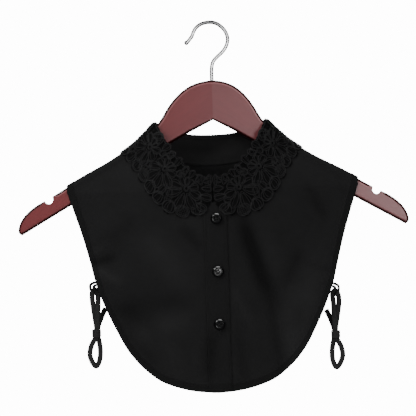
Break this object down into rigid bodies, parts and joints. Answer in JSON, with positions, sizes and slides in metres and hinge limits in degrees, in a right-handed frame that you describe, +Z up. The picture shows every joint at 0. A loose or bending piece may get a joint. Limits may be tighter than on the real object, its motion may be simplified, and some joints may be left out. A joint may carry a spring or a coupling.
{
  "type": "lace collar with a buttoned bib, on a wooden clothes hanger",
  "caption": "Detachable black shirt-front collar with flower lace, button band and side ties, hung on a red-brown wooden hanger with a wire hook.",
  "frame": {"origin": "inside the top of the hook, where a rail carries the hanger", "axes": "+X along the hanger towards the wearer's left arm, +Y towards the back of the garment, +Z up"},
  "size_m": [0.4426, 0.0804, 0.4209],
  "materials": {
    "wood": "satin lacquered, red-brown stain",
    "steel": "bright plated wire",
    "cloth": "fine plain-weave black shirting, matte with a faint sheen",
    "lace": "heavy embroidered flower lace in black thread with a slight sheen",
    "button": "gloss black",
    "strap": "sewn black strap and cord"
  },
  "bodies": {
    "root": {"hanger_arm_left": "wood", "hanger_arm_right": "wood", "hanger_hook": "steel", "front_left": "cloth", "front_right": "cloth", "button_band": "cloth", "back_panel": "cloth", "collar_stand": "cloth", "lace_left": "lace", "lace_right": "lace", "button_1": "button", "button_2": "button", "button_3": "button", "strap_left": "strap", "strap_right": "strap", "cord_loop_left": "strap", "cord_loop_right": "strap", "keeper_left": "strap", "keeper_right": "strap"}
  },
  "joints": []
}
